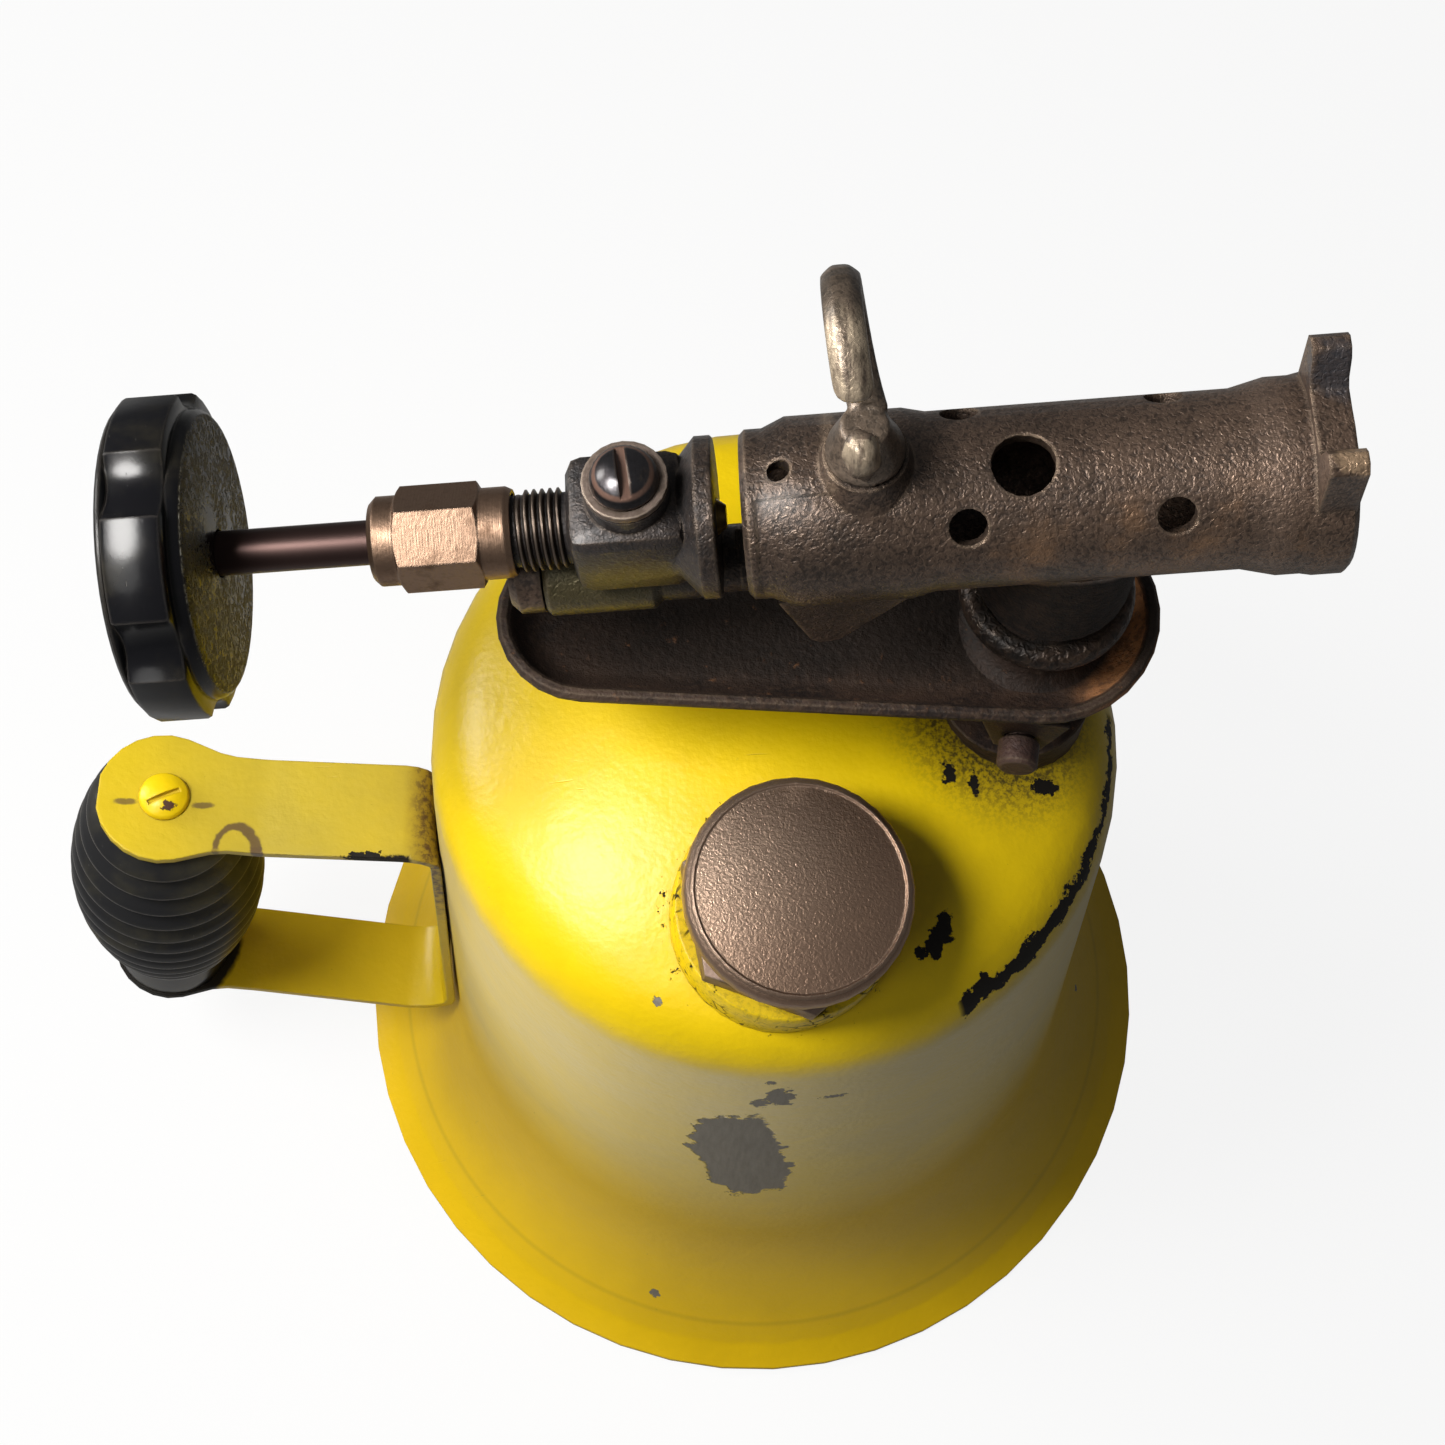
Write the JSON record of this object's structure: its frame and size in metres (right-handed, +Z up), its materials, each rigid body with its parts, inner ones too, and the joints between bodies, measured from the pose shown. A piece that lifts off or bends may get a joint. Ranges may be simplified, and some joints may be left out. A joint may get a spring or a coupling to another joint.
{
  "type": "blow torch",
  "caption": "Gasoline blow torch with a bell-shaped yellow tank, hand pump, ribbed side handle, cast burner with air holes, drip tray and lobed valve wheel.",
  "frame": {"origin": "middle of the object's length and width on the plane that the skirt's rim stands on", "axes": "+Z up from the rim to the hook, +X from the handle towards the burner's muzzle, -Y the pump's side"},
  "size_m": [0.2047, 0.16, 0.268],
  "materials": {
    "yellow_paint": "semi-gloss enamel over tinned steel",
    "tinned_sheet": "dull tinned sheet",
    "cast_bronze": "dark heat-stained casting skin",
    "turned_bronze": "turned, sandy brown",
    "brown_bronze": "fine grained brown patina",
    "yellow_brass": "turned yellow brass",
    "worn_iron": "forged, worn bright on the edges",
    "rusty_iron": "sooty with rust",
    "dark_steel": "dark heat-stained steel",
    "black_moulding": "glossy black moulding",
    "leather": "oiled leather",
    "packing_cord": "graphited cord",
    "cotton": "soaked cotton yarn"
  },
  "bodies": {
    "torch": {"tank_shell": "yellow_paint", "tank_bottom": "tinned_sheet", "filler_bush": "yellow_brass", "pump_bung": "yellow_paint", "riser_bung": "rusty_iron", "handle_bracket": "yellow_paint", "grip": "black_moulding", "grip_bolt": "yellow_paint", "grip_nut": "dark_steel", "pump_barrel": "yellow_brass", "pump_cap": "brown_bronze", "check_valve_body": "yellow_brass", "check_valve_spring": "dark_steel", "burner_casting": "cast_bronze", "jet_nipple": "yellow_brass", "gland_packing": "packing_cord", "packing_nut": "turned_bronze", "cleanout_screw": "dark_steel", "cleanout_washer": "turned_bronze", "passage_plug": "cast_bronze", "iron_hook": "worn_iron", "riser_pipe": "dark_steel", "pickup_tube": "yellow_brass", "fuel_wick": "cotton", "drip_tray": "rusty_iron", "tray_set_screw": "rusty_iron"},
    "plunger": {"pump_knob": "brown_bronze", "pump_rod": "dark_steel", "piston_plate": "yellow_brass", "piston_cup": "leather", "piston_nut": "yellow_brass"},
    "needle": {"valve_spindle": "dark_steel"},
    "wheel": {"handwheel": "black_moulding", "handwheel_screw": "dark_steel"},
    "filler_seal": {"filler_gasket": "leather"},
    "filler_stopper": {"filler_plug": "yellow_brass"},
    "check_ball": {"check_valve_ball": "dark_steel"}
  },
  "joints": [
    {"name": "pump_stroke", "type": "slide", "parent": "torch", "child": "plunger", "axis": [0.1041, -0.0872, 0.9907], "range_m": [0, 0.065]},
    {"name": "needle_travel", "type": "slide", "parent": "torch", "child": "needle", "axis": [-0.9962, 0.0026, -0.0872], "range_m": [0, 0.0025]},
    {"name": "wheel_turn", "type": "hinge", "parent": "needle", "child": "wheel", "pos_m": [0.05842, 0, 0.2287], "axis": [-0.9962, 0.0026, -0.0872], "range_deg": [0, 900]},
    {"name": "gasket_drop", "type": "slide", "parent": "torch", "child": "filler_seal", "axis": [0, 0, -1], "range_m": [0, 0.0045]},
    {"name": "filler_turn", "type": "hinge", "parent": "filler_seal", "child": "filler_stopper", "pos_m": [0.02212, 0, 0.04855], "axis": [0, 0, -1], "range_deg": [0, 1080]},
    {"name": "ball_lift", "type": "slide", "parent": "torch", "child": "check_ball", "axis": [-0.1041, 0.0872, -0.9907], "range_m": [0, 0.0008], "stiffness_N_per_m": 50, "springref_m": -0.0006, "deforming": ["check_valve_spring"]}
  ],
  "couplings": [
    {"joint": "needle_travel", "follows": "wheel_turn", "m_per_rad": 0.00015915}
  ]
}
